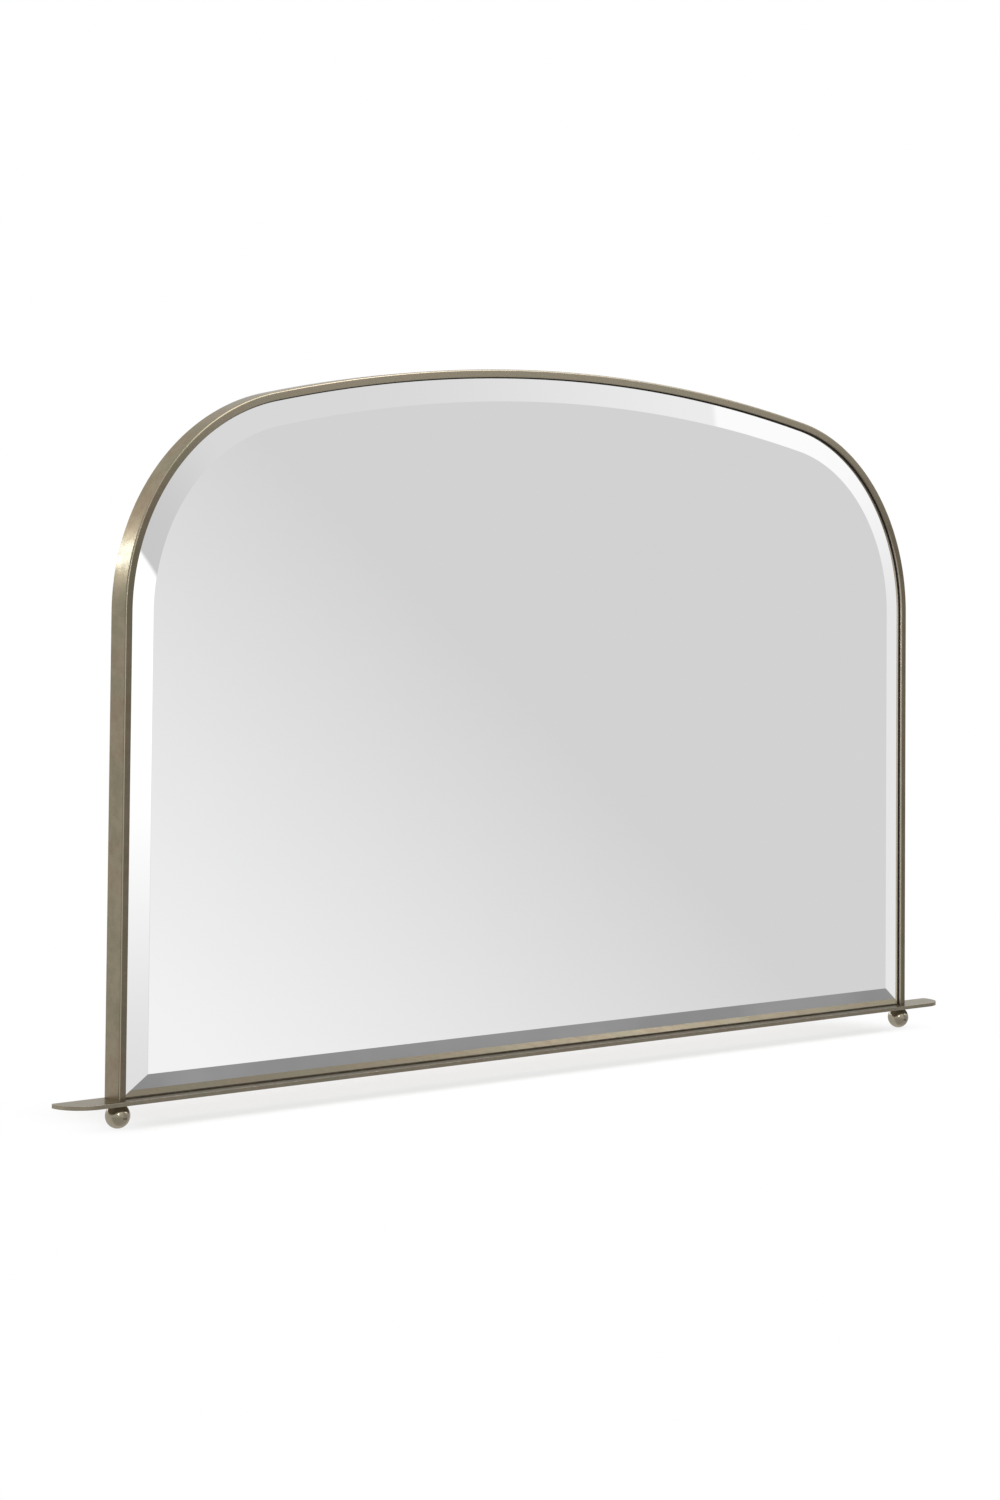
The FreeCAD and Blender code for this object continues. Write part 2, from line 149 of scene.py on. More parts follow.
# %% Sweep helpers
corner_steps = 56
crown_steps = 40


def points_of(parts):
    """The corner points among some parts of a mesh."""
    return [part for part in parts if isinstance(part, bmesh.types.BMVert)]


def edges_of(parts):
    """The edges among some parts of a mesh."""
    return [part for part in parts if isinstance(part, bmesh.types.BMEdge)]


def draw_section(points, bottom):
    """An outline at the foot of the right post. Each point is its inset and its depth."""
    section = bmesh.new()
    corners = [section.verts.new((half_width - inset, depth, bottom)) for inset, depth in points]
    section.faces.new(corners)
    return section, corners


def round_off(section, corners, radius, steps):
    """Rounds corners of a flat outline."""
    bmesh.ops.bevel(section, geom=corners, affect="VERTICES", offset=radius, offset_type="OFFSET",
                    segments=steps, profile=0.5, material=-1, clamp_overlap=True)


def pull(shape, line, distance):
    """Pulls a line of edges straight up or down and returns the new end."""
    made = bmesh.ops.extrude_edge_only(shape, edges=edges_of(line))["geom"]
    moved = points_of(made)
    bmesh.ops.translate(shape, vec=(0, 0, distance), verts=moved)
    return moved + [edge for edge in edges_of(made) if set(edge.verts) <= set(moved)]


def turn_about(shape, line, centre_x, centre_z, angle, steps):
    """Spins a line of edges round one arc centre and returns the new end."""
    made = bmesh.ops.spin(shape, geom=line, cent=(centre_x, 0, centre_z), axis=(0, -1, 0),
                          angle=angle, steps=steps, use_merge=False)
    return made["geom_last"]


def bend_round_arch(shape, line, bottom):
    """Carries a line up the right post, over the arch and down the left post."""
    rise = corner_centre_z - bottom
    line = pull(shape, line, rise)
    line = turn_about(shape, line, corner_centre_x, corner_centre_z, touch_angle, corner_steps)
    line = turn_about(shape, line, 0, crown_centre_z, math.pi - 2 * touch_angle, crown_steps)
    line = turn_about(shape, line, -corner_centre_x, corner_centre_z, touch_angle, corner_steps)
    return pull(shape, line, -rise)


def close_ends(shape):
    """Puts a cap on every open loop."""
    rims = [edge for edge in shape.edges if edge.is_boundary]
    bmesh.ops.holes_fill(shape, edges=rims, sides=0)


def bend_section(section, bottom):
    """Turns a drawn outline into the closed profile that runs round the whole arch."""
    bmesh.ops.delete(section, geom=section.faces[:], context="FACES_ONLY")
    bend_round_arch(section, section.verts[:] + section.edges[:], bottom)
    close_ends(section)


# %% [markdown]
# ## From a mesh to a finished piece
# Every new piece goes through the same last steps: its faces are turned outwards, soft edges are
# shaded smooth and hard ones stay crisp, and the large flat faces decide how the narrow rounded
# ones beside them are shaded. Then it rides on its CAD body and hides the node that it stands for.

# %% Finishing helpers
sharp_angle = math.radians(32)


def soften(shape, edges, radius, steps):
    """Rounds some edges of a solid shape."""
    bmesh.ops.bevel(shape, geom=edges, affect="EDGES", offset=radius, offset_type="OFFSET",
                    segments=steps, profile=0.5, material=-1, clamp_overlap=True)


def saw_off(shape, place, direction):
    """Saws a shape along a plane, takes away the side that the direction points to and closes it."""
    cut = bmesh.ops.bisect_plane(shape, geom=shape.verts[:] + shape.edges[:] + shape.faces[:],
                                 plane_co=place, plane_no=direction, clear_outer=True)
    close_ends(shape)
    return edges_of(cut["geom_cut"])


def finish_piece(shape, name, body, stands_for):
    """Makes an object of a mesh, ties it to the CAD and returns it."""
    bmesh.ops.recalc_face_normals(shape, faces=shape.faces[:])
    mesh = bpy.data.meshes.new(name)
    shape.to_mesh(mesh)
    shape.free()
    mesh.shade_smooth()
    mesh.set_sharp_from_angle(angle=sharp_angle)
    piece = bpy.data.objects.new(name, mesh)
    bpy.context.scene.collection.objects.link(piece)
    even = piece.modifiers.new("even shading", "WEIGHTED_NORMAL")
    even.keep_sharp = True
    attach(piece, body)
    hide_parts(*stands_for)
    print(name, "has", len(mesh.polygons), "faces")
    return piece


# %% [markdown]
# ## The bent frame
# The channel has a side wall, a front lip that covers the edge of the glass and a rear lip that the
# springs press against. Its front outer edge is softly rounded, the others only broken, as
# on drawn and polished metal.

# %% Bent frame
front_edge_steps = 8
small_edge_steps = 4
channel_outline = [
    (0, frame_front),
    (face_width, frame_front),
    (face_width, lip_back),
    (wall_thickness, lip_back),
    (wall_thickness, rear_lip_front),
    (face_width, rear_lip_front),
    (face_width, 0),
    (0, 0),
]
channel, corners = draw_section(channel_outline, bar_top)
outer_front, lip_front_edge, lip_back_edge = corners[0:3]
rear_lip_edges = corners[5:7]
outer_back = corners[7]
round_off(channel, [outer_front], front_edge_radius, front_edge_steps)
round_off(channel, [lip_front_edge] + rear_lip_edges, lip_edge_radius, small_edge_steps)
round_off(channel, [lip_back_edge], lip_back_radius, small_edge_steps)
round_off(channel, [outer_back], back_edge_radius, small_edge_steps)
bend_section(channel, bar_top)
bent_frame = finish_piece(channel, "bent_frame", "mirror", ["frame_hoop"])

# %% [markdown]
# ## The base bar
# The bar is a flat strip whose front corners are cut to large quarter rounds. It is drilled from
# below: a countersunk hole under each post, a tapped hole over each ball and a small one for each
# bracket at the back. The outline and the holes are drawn as loops, filled as one flat face and
# pulled up to the bar's thickness. Only the outer rims are then softened.

# %% Base bar
ball_setback = 20 * mm
stud_radius = 2.5 * mm
countersink_radius = 3.85 * mm
bracket_bolt_radius = 1.5 * mm
bracket_spacing = 380 * mm
bracket_thickness = 1.5 * mm
bracket_wall_gap = 0.7 * mm
bar_end_steps = 24
bar_back_corner_steps = 8
bar_edge_steps = 4
hole_steps = 32
rim_angle = math.radians(60)
# An edge within this many radii of a hole's middle belongs to the hole.
hole_reach = 2

screw_depth = (board_front + rear_lip_front) / 2
bolt_depth = (board_back + bracket_thickness - bracket_wall_gap) / 2
post_middle = half_width - face_width / 2
block_middle = half_width - (face_width + wall_thickness) / 2
ball_depth = bar_front + ball_setback
bar_end_radius = -bar_front - bar_back_corner_radius - bar_end_flat

bar = bmesh.new()
bar_corners = [bar.verts.new((x, y, bar_bottom)) for x, y in (
    (-half_bar, bar_front), (half_bar, bar_front), (half_bar, 0), (-half_bar, 0))]
bar.faces.new(bar_corners)
round_off(bar, bar_corners[0:2], bar_end_radius, bar_end_steps)
round_off(bar, bar_corners[2:4], bar_back_corner_radius, bar_back_corner_steps)
bmesh.ops.delete(bar, geom=bar.faces[:], context="FACES_ONLY")
hole_list = [(side * post_middle, ball_depth, stud_radius) for side in (-1, 1)]
hole_list += [(side * block_middle, screw_depth, countersink_radius) for side in (-1, 1)]
hole_list += [(place, bolt_depth, bracket_bolt_radius) for place in (-bracket_spacing, 0, bracket_spacing)]
for x, y, radius in hole_list:
    bmesh.ops.create_circle(bar, cap_ends=False, radius=radius, segments=hole_steps,
                            matrix=Matrix.Translation((x, y, bar_bottom)))
bmesh.ops.triangle_fill(bar, edges=bar.edges[:], use_beauty=True, normal=(0, 0, -1))
lifted = bmesh.ops.extrude_face_region(bar, geom=bar.faces[:], use_keep_orig=True)
bmesh.ops.translate(bar, vec=(0, 0, bar_thickness), verts=points_of(lifted["geom"]))
bmesh.ops.recalc_face_normals(bar, faces=bar.faces[:])


def is_outer_rim(edge):
    """True for an edge of the bar's top or bottom that isn't a hole's."""
    if len(edge.link_faces) != 2 or edge.calc_face_angle() < rim_angle:
        return False
    if abs(edge.verts[0].co.z - edge.verts[1].co.z) > bar_thickness / 2:
        return False
    middle = (edge.verts[0].co + edge.verts[1].co) / 2
    return all((middle.xy - Vector((x, y))).length > hole_reach * radius for x, y, radius in hole_list)


soften(bar, [edge for edge in bar.edges if is_outer_rim(edge)], bar_edge_radius, bar_edge_steps)
shelf_bar = finish_piece(bar, "shelf_bar", "mirror", ["base_bar"])

# %% [markdown]
# ## The ball feet
# Each foot is a turned ball with a small flat seat against the bar. A fine ball is cut with one
# plane, the cut is closed, and the seat's edge is broken.

# %% Ball feet
ball_radius = 12.5 * mm
ball_seat_radius = 4 * mm
ball_middle = bar_bottom - math.sqrt(ball_radius ** 2 - ball_seat_radius ** 2)
ball_columns = 72
ball_rows = 48
seat_edge_radius = 0.3 * mm
seat_edge_steps = 2

balls = bmesh.new()
for side in (-1, 1):
    bmesh.ops.create_uvsphere(balls, u_segments=ball_columns, v_segments=ball_rows, radius=ball_radius,
                              matrix=Matrix.Translation((side * post_middle, ball_depth, ball_middle)))
seat_rims = saw_off(balls, place=(0, 0, bar_bottom), direction=(0, 0, 1))
soften(balls, seat_rims, seat_edge_radius, seat_edge_steps)
turned_balls = finish_piece(balls, "turned_balls", "mirror", ["ball_feet"])

# %% [markdown]
# ## The beveled glass
# A glass worker grinds the bevel with a flat wheel: first round the arch, where the wheel follows
# the curve, then straight along the bottom. The mesh is made in that order too. The edge and the
# arched bevel are swept, the flat and the back are closed, and one straight cut grinds the bottom
# bevel. The cut gives the two mitre lines in the corners by itself. The line where the bevel meets
# the flat is polished off by a third of a millimetre, and that is the thin bright line round the
# flat of the real mirror. A bevel is so shallow that its edge stays crisp from 1.5 degrees on.

# %% Beveled glass
arris_width = 0.35 * mm
arris_steps = 2
sharp_bevel_angle = math.radians(1.5)
near_nothing = 0.001 * mm


def lies_at(edge, depth):
    """True for an edge whose two ends are at one depth."""
    return all(abs(point.co.y - depth) < near_nothing for point in edge.verts)


glass = bmesh.new()
edge_points = [glass.verts.new((half_width - inset, depth, glass_bottom)) for inset, depth in (
    (glass_inset, glass_back), (glass_inset, glass_edge_front), (glass_inset + bevel_width, glass_front))]
edge_line = [glass.edges.new(pair) for pair in zip(edge_points, edge_points[1:])]
far_end = bend_round_arch(glass, edge_points + edge_line, glass_bottom)
far_points = sorted(points_of(far_end), key=lambda point: -point.co.y)
for start, end in ((edge_points[0], far_points[0]), (edge_points[2], far_points[2])):
    closing = glass.edges.new((start, end))
    rim = [edge for edge in glass.edges if edge.is_boundary and lies_at(edge, start.co.y)]
    bmesh.ops.edgeloop_fill(glass, edges=rim + [closing])
close_ends(glass)
bmesh.ops.recalc_face_normals(glass, faces=glass.faces[:])
saw_off(glass, place=(0, glass_edge_front, glass_bottom), direction=(0, -bottom_bevel_width, -bevel_drop))
soften(glass, [edge for edge in glass.edges if lies_at(edge, glass_front)], arris_width, arris_steps)
beveled_glass = finish_piece(glass, "beveled_glass", "mirror", ["mirror_glass"])
beveled_glass.data.set_sharp_from_angle(angle=sharp_bevel_angle)
print("flat of the glass is", round((half_width - glass_inset - bevel_width) * 2 / mm), "mm wide")

# %% [markdown]
# ## The gasket
# A thin black rubber lies between the lip and the glass. Its bead reaches a millimetre past the lip.
# From the front it is the dark line that sets the glass off from the metal, so it gets the same
# fine arcs as the frame.

# %% Rubber gasket
gasket_play = 0.2 * mm
bead_radius = 0.3 * mm
bead_steps = 3
leg_back = lip_back + gasket_thickness
gasket_outer = wall_thickness + gasket_play
gasket_outline = [
    (gasket_outer, lip_back),
    (face_width + gasket_bead, lip_back),
    (face_width + gasket_bead, leg_back),
    (glass_inset - gasket_play, leg_back),
    (glass_inset - gasket_play, board_front),
    (gasket_outer, board_front),
]
gasket, corners = draw_section(gasket_outline, bar_top)
round_off(gasket, corners[1:3], bead_radius, bead_steps)
bend_section(gasket, bar_top)
rubber_gasket = finish_piece(gasket, "rubber_gasket", "mirror", ["edge_gasket"])

# %% [markdown]
# ## Writing shader maths as sums
# A node tree is easier to read as a sum than as boxes and wires. The small class below wraps one
# socket, so that a plus or a times sign adds the Math node for it. Every other node comes from one
# method that takes the node's type, its settings and what goes into its sockets.

# %% Shader helpers
class Value:
    """A socket that can be added, multiplied and so on."""

    def __init__(self, sheet, socket):
        self.sheet = sheet
        self.socket = socket

    def maths(self, operation, first, second):
        """A Math node for two values or numbers."""
        return self.sheet.add("ShaderNodeMath", {"operation": operation}, {0: first, 1: second})

    def __add__(self, other):
        return self.maths("ADD", self, other)

    def __radd__(self, other):
        return self.maths("ADD", other, self)

    def __sub__(self, other):
        return self.maths("SUBTRACT", self, other)

    def __rsub__(self, other):
        return self.maths("SUBTRACT", other, self)

    def __mul__(self, other):
        return self.maths("MULTIPLY", self, other)

    def __rmul__(self, other):
        return self.maths("MULTIPLY", other, self)

    def __abs__(self):
        return self.sheet.add("ShaderNodeMath", {"operation": "ABSOLUTE"}, {0: self})


class Sheet:
    """The node tree of one material or world, started empty."""

    def __init__(self, owner):
        owner.use_nodes = True
        self.tree = owner.node_tree
        self.tree.nodes.clear()

    def add(self, kind, settings=None, inputs=None, output=0):
        """Adds a node: its settings first, then the numbers or links of its sockets."""
        node = self.tree.nodes.new(kind)
        for name, setting in (settings or {}).items():
            setattr(node, name, setting)
        for name, value in (inputs or {}).items():
            if isinstance(value, Value):
                self.tree.links.new(value.socket, node.inputs[name])
            else:
                node.inputs[name].default_value = value
        return Value(self, node.outputs[output]) if node.outputs else None

    def place(self):
        """The place on the piece, in metres."""
        return self.add("ShaderNodeTexCoord", output="Object")

    def part_of(self, vector, axis):
        """One of a vector's three parts."""
        return self.add("ShaderNodeSeparateXYZ", {}, {0: vector}, output=axis)

    def noise(self, size, detail=3, roughness=0.5, stretch=(1, 1, 1)):
        """Cloudy noise with blotches of about one size, from 0 to 1."""
        where = self.add("ShaderNodeMapping", {}, {"Vector": self.place(), "Scale": stretch})
        return self.add("ShaderNodeTexNoise", {}, {
            "Vector": where, "Scale": 1 / size, "Detail": detail, "Roughness": roughness})

    def cells(self, size, output="Distance"):
        """A pattern of packed cells of about one size."""
        return self.add("ShaderNodeTexVoronoi", {}, {
            "Vector": self.place(), "Scale": 1 / size}, output=output)

    def ramp(self, value, low, high):
        """A soft step from 0 at low to 1 at high."""
        return self.add("ShaderNodeMapRange", {"interpolation_type": "SMOOTHSTEP"}, {
            "Value": value, "From Min": low, "From Max": high})

    def band(self, value, rise, fall):
        """1 between two soft steps and 0 outside. Each step is where it starts and where it ends."""
        return self.ramp(value, *rise) * (1 - self.ramp(value, *fall))

    def blend(self, share, first, second):
        """One colour going over into another. The colours are sockets 6 and 7 of a Mix node."""
        return self.add("ShaderNodeMix", {"data_type": "RGBA"}, {
            "Factor": share, 6: first, 7: second}, output=2)

    def bump(self, height, depth):
        """Surface relief of a real depth, in metres."""
        return self.add("ShaderNodeBump", {}, {"Height": height, "Distance": depth})

    def surface(self, **sockets):
        """The shader itself, joined to the material's output."""
        names = {name.replace("_", " "): value for name, value in sockets.items()}
        shader = self.add("ShaderNodeBsdfPrincipled", {}, names)
        self.add("ShaderNodeOutputMaterial", {}, {"Surface": shader})


def linear(level):
    """One sRGB level from 0 to 255 as the amount of light that it stands for."""
    share = level / 255
    return share / 12.92 if share <= 0.04045 else ((share + 0.055) / 1.055) ** 2.4


def tone(red, green, blue):
    """A colour as a painter's chart gives it, made linear for Blender."""
    return (linear(red), linear(green), linear(blue), 1.0)


def new_material(name):
    """A new material and its empty sheet."""
    material = bpy.data.materials.new(name)
    return material, Sheet(material)


# %% [markdown]
# ## The antique metal
# The metal is brass that has been darkened with a patina, rubbed back and lacquered. Close up it is
# a warm grey with olive and brown clouds some centimetres long, finer mottling inside them and a
# grain of tiny darker specks. The lacquer is a thin clear coat, which gives the white highlights.
# The rounded edges get a light line along their middle, partly rubbed wear and partly a painted
# highlight, and beside it a little dark patina with painted shade. An edge is found by its
# direction. Across the frame's front edge the normal turns from the depth to the outside, and across
# the bar's edge from the height to the outside, so the square of one part of the normal says how far
# round the edge a point lies.

# %% Antique metal
# The light brass serves rubbed wear and painted light; the dark speck colour serves specks, patina and
# painted shade.
wear_and_painted_light_brass = tone(232, 222, 200)
aged_brass = tone(127, 117, 99)
brown_patina = tone(116, 102, 83)
olive_patina = tone(110, 106, 86)
dark_speck_and_shade = tone(78, 69, 53)
dull_grey = tone(124, 123, 117)
# A tint below white keeps the metal from turning bright where it is seen at a slant.
dull_at_a_slant = (0.42, 0.40, 0.36, 1.0)

cloud_size = 38 * mm
mottle_size = 9 * mm
grain_size = 1.6 * mm
tint_size = 60 * mm
patina_levels = (0.36, 0.66)
tint_levels = (0.4, 0.6)
grain_levels = (0.56, 0.78)
grain_share = 0.4
dullness_of_patina = 0.07
dullness_of_grain = 0.07
metal_relief = 0.02 * mm
# The light edge line is rubbed wear with a painted highlight, and the dark edge band beside it is patina with
# painted shade.
faintest_line = 0.7
more_in_patches = 0.6
dark_edge_band = ((0.01, 0.1), (0.97, 0.995))


class AntiqueMetal:
    """The metal of one piece: clouds and grain first, then wear, stains and painted light, and lacquer last.
    """

    def __init__(self, name, handled, greyed=0.0, smoothness=0.27):
        self.material, sheet = new_material(name)
        self.sheet = sheet
        clouds = sheet.noise(cloud_size, detail=4, roughness=0.55)
        self.mottle = sheet.noise(mottle_size, detail=5, roughness=0.6)
        self.grain = sheet.noise(grain_size, detail=3, roughness=0.6)
        browner = sheet.noise(tint_size, detail=2)
        patina = sheet.ramp(clouds * 0.5 + self.mottle * 0.5, *patina_levels)
        patina_colour = sheet.blend(sheet.ramp(browner, *tint_levels), olive_patina, brown_patina)
        self.colour = sheet.blend(patina, aged_brass, patina_colour)
        self.lay_over(greyed, dull_grey)
        self.lay_over(sheet.ramp(self.grain, *grain_levels) * grain_share, dark_speck_and_shade)
        self.lay_over(handled, wear_and_painted_light_brass)
        self.roughness = smoothness + patina * dullness_of_patina + self.grain * dullness_of_grain

    def lay_over(self, share, colour):
        """Lays a share of one colour over what is there."""
        self.colour = self.sheet.blend(share, self.colour, colour)

    def facing(self, axis):
        """How squarely the surface faces along one axis, from 0 to 1."""
        turned = self.sheet.part_of(self.sheet.add("ShaderNodeNewGeometry", output="Normal"), axis)
        return turned * turned

    def edge_lines(self, facing, line, dark_edge, strength, polish):
        """A light line along rounded edges, partly rubbed wear and partly a painted highlight, with dark
        patina and painted shade beside it.

        The line is a band of how squarely the surface faces, and so is the dark edge under it.
        """
        # The light line is rubbed wear and a painted highlight; the dark edge is patina and painted shade.
        light_line = self.sheet.band(facing, *line) * strength
        patches = faintest_line + self.mottle * more_in_patches
        self.lay_over(self.sheet.band(facing, *dark_edge_band) * dark_edge, dark_speck_and_shade)
        self.lay_over(light_line * patches, wear_and_painted_light_brass)
        self.roughness = self.roughness - light_line * polish

    def lacquered(self, coat=0.3, haze=0.16):
        """Puts the lacquer and the fine relief on, and returns the material."""
        self.sheet.surface(
            Base_Color=self.colour,
            Metallic=1.0,
            Roughness=self.roughness,
            Specular_Tint=dull_at_a_slant,
            Coat_Weight=coat,
            Coat_Roughness=haze,
            Normal=self.sheet.bump(self.mottle * 0.6 + self.grain * 0.4, metal_relief))
        return self.material


# %% [markdown]
# ## Wear and painted light on the frame, the bar and the balls
# The crown's flat front is painted a little lighter towards the top, as painted light from above,
# and its edge has the strongest light line, a painted highlight over rubbed wear. The fronts of the
# posts are painted darker, as painted shade, and their inner sides, beside the glass, are painted
# lighter, as painted light. The bar is a little greyer and has a light line along its edge, rubbed
# wear with a painted highlight. The balls are handled when the mirror is moved: they are smoother
# and have a thicker, clearer lacquer.

# %% The three metals
# Where the painted light on the crown's front starts, and where the edge's painted highlight grows strongest.
crown_light_starts = 550 * mm
crown_line_starts = 680 * mm
flat_facing = (0.9, 0.98)
inner_side_band = (half_width * 0.8, half_width * 0.94)
# Amounts of painted shade on the post fronts and painted light on the crown front and the inner sides.
painted_shade_on_post_fronts = 0.38
painted_light_on_crown_front = 0.17
painted_light_on_inner_sides = 0.42
# The dark edge is patina with painted shade, and the light edge line is rubbed wear with a painted highlight.
dark_edge_everywhere = 0.2
more_dark_edge_on_crown = 0.65
line_everywhere = 0.05
more_line_on_posts = 0.17
more_line_on_crown = 0.42

frame_finish = AntiqueMetal("antique_metal", handled=0.02)
sheet = frame_finish.sheet
facing = frame_finish.facing("Y")
flat_front = sheet.ramp(facing, *flat_facing)
up_high = sheet.part_of(sheet.place(), "Z")
up_on_crown = sheet.ramp(up_high, crown_light_starts, crown_top_z)
top_only = sheet.ramp(up_high, crown_line_starts, crown_top_z)
on_posts = 1 - sheet.ramp(up_high, corner_centre_z, crown_light_starts)
normal = sheet.add("ShaderNodeNewGeometry", output="Normal")
to_the_middle = 0 - sheet.part_of(normal, "X") * sheet.part_of(sheet.place(), "X")
inner_side = sheet.ramp(to_the_middle, *inner_side_band)
# Painted shade: the flat fronts of the posts are darkened.
frame_finish.lay_over(flat_front * (1 - up_on_crown) * painted_shade_on_post_fronts, dark_speck_and_shade)
# Painted light: the crown's flat front is lightened towards the top.
frame_finish.lay_over(flat_front * up_on_crown * painted_light_on_crown_front, wear_and_painted_light_brass)
# Painted light: the frame's inner sides beside the glass are lightened.
frame_finish.lay_over(inner_side * painted_light_on_inner_sides, wear_and_painted_light_brass)
# The light edge line is rubbed wear with a painted highlight, strongest on the crown; the dark edge beside it
# is patina with painted shade.
frame_finish.edge_lines(
    facing, line=((0.5, 0.62), (0.86, 0.95)),
    dark_edge=dark_edge_everywhere + top_only * more_dark_edge_on_crown,
    strength=line_everywhere + on_posts * more_line_on_posts + top_only * more_line_on_crown,
    polish=0.12)
frame_metal = frame_finish.lacquered()

bar_finish = AntiqueMetal("antique_metal_bar", handled=0.05, greyed=0.15)
# The bar's light edge line is rubbed wear with a painted highlight, with patina and painted shade beside it.
bar_finish.edge_lines(
    bar_finish.facing("Z"), line=((0.1, 0.25), (0.72, 0.9)), dark_edge=0.1, strength=0.7, polish=0.08)
bar_metal = bar_finish.lacquered()

ball_finish = AntiqueMetal("antique_metal_ball", handled=0.08, smoothness=0.13)
ball_metal = ball_finish.lacquered(coat=0.8, haze=0.09)
for metal in (frame_metal, bar_metal, ball_metal):
    print(metal.name, "has", len(metal.node_tree.nodes), "nodes")

# %% [markdown]
# ## The silvered glass
# A mirror shows hardly anything of itself: a layer of silver behind clear glass gives back nearly
# all light, in a very faint green. It is made as one polished metal surface, because the bevel's
# brightness comes from the direction that it is ground to. Real silver is never quite even, so
# its roughness and tint drift by a trace.

# %% Silvered glass
silver_clear = (0.972, 0.972, 0.972, 1.0)
silver_faint_green = (0.960, 0.964, 0.962, 1.0)
drift_size = 220 * mm
drift_levels = (0.55, 0.8)
most_haze = 0.01
mirror_glass, sheet = new_material("mirror_glass")
drift = sheet.noise(drift_size, detail=2)
sheet.surface(
    Base_Color=sheet.blend(drift, silver_clear, silver_faint_green),
    Metallic=1.0,
    Roughness=sheet.ramp(drift, *drift_levels) * most_haze)
print("roughness of the silver from 0 to", most_haze)

# %% [markdown]
# ## The hidden materials
# Behind the glass are the things that make it work. Four of them are plain enough for one recipe:
# the black rubber of the gasket, the dusty rubber strip under the glass, the grey paint behind the
# silver and the yellow plating of the wood screws. Each is a cloudy noise between two tones that
# also makes the surface a little rougher and gives it relief. The fibreboard, the foam tape, the
# spring steel and the zinc have patterns of their own.

# %% Rubber, paint and plating
def two_tones(name, size, detail, coarseness, levels, tones, roughness, relief, **sockets):
    """A material between two tones. The roughness is its least amount and what the noise adds."""
    material, sheet = new_material(name)
    pattern = sheet.noise(size, detail, coarseness)
    least_rough, added = roughness
    sheet.surface(
        Base_Color=sheet.blend(sheet.ramp(pattern, *levels), *tones),
        Roughness=least_rough + pattern * added,
        Normal=sheet.bump(pattern, relief),
        **sockets)
    return material


rubber_gloss = 0.25
black_rubber = two_tones(
    "black_rubber", size=4 * mm, detail=5, coarseness=0.7, levels=(0.5, 0.8),
    tones=(tone(28, 25, 21), tone(46, 42, 36)), roughness=(0.7, 0.2), relief=0.1 * mm,
    Specular_IOR_Level=rubber_gloss)
dusty_rubber = two_tones(
    "dusty_rubber", size=4 * mm, detail=5, coarseness=0.7, levels=(0.4, 0.7),
    tones=(tone(50, 44, 34), tone(72, 65, 52)), roughness=(0.75, 0.2), relief=0.1 * mm,
    Specular_IOR_Level=rubber_gloss)
backing_paint = two_tones(
    "backing_paint", size=2.5 * mm, detail=5, coarseness=0.65, levels=(0.4, 0.7),
    tones=(tone(112, 114, 116), tone(134, 136, 138)), roughness=(0.5, 0.25), relief=0.06 * mm)
plated_screw = two_tones(
    "plated_screw", size=3 * mm, detail=4, coarseness=0.6, levels=(0.4, 0.7),
    tones=(tone(196, 168, 104), tone(158, 132, 82)), roughness=(0.26, 0.16), relief=0.03 * mm,
    Metallic=1.0)

# %% Board, tape, springs and zinc
stain_share = 0.35
spangle_share = 0.5
bloom_share = 0.5

fibreboard, sheet = new_material("fibreboard")
fibres = sheet.noise(size=1.4 * mm, detail=4, roughness=0.7, stretch=(0.35, 1, 1))
stains = sheet.ramp(sheet.noise(size=90 * mm, detail=3), low=0.45, high=0.75)
board_colour = sheet.blend(sheet.ramp(fibres, low=0.35, high=0.7), tone(140, 108, 76), tone(176, 144, 106))
board_colour = sheet.blend(stains * stain_share, board_colour, tone(118, 88, 60))
sheet.surface(
    Base_Color=board_colour,
    Roughness=0.78 + fibres * 0.15,
    Normal=sheet.bump(fibres, depth=0.15 * mm))

foam_tape, sheet = new_material("foam_tape")
bubbles = sheet.cells(size=0.8 * mm)
sheet.surface(
    Base_Color=sheet.blend(sheet.ramp(bubbles, low=0.1, high=0.6), tone(205, 205, 198), tone(232, 231, 224)),
    Roughness=0.9 - bubbles * 0.1,
    Normal=sheet.bump(bubbles, depth=0.2 * mm))

spring_steel, sheet = new_material("spring_steel")
temper = sheet.ramp(sheet.noise(size=12 * mm, detail=3), low=0.4, high=0.65)
brushed = sheet.noise(size=0.5 * mm, detail=3, stretch=(1, 1, 0.06))
sheet.surface(
    Base_Color=sheet.blend(temper, tone(120, 124, 132), tone(146, 138, 120)),
    Metallic=1.0,
    Roughness=0.24 + brushed * 0.2,
    Normal=sheet.bump(brushed, depth=0.02 * mm))

zinc_steel, sheet = new_material("zinc_steel")
spangle = sheet.add("ShaderNodeSeparateColor", {}, {"Color": sheet.cells(size=3.5 * mm, output="Color")})
bloom = sheet.noise(size=5 * mm, detail=4, roughness=0.6)
dull_places = sheet.ramp(bloom, low=0.55, high=0.75)
zinc_colour = sheet.blend(spangle * spangle_share, tone(150, 154, 157), tone(182, 184, 184))
zinc_colour = sheet.blend(dull_places * bloom_share, zinc_colour, tone(128, 126, 117))
sheet.surface(
    Base_Color=zinc_colour,
    Metallic=1.0,
    Roughness=0.26 + bloom * 0.18,
    Normal=sheet.bump(bloom, depth=0.04 * mm))
print("materials so far:", len(bpy.data.materials))

# %% [markdown]
# ## Giving each piece its finish
# The CAD nodes keep their shapes and only get a material in their slot. A table of name beginnings
# says which finish belongs to which piece. The first beginning that fits counts, so the screws
# stand before the rest of the hangers and brackets.

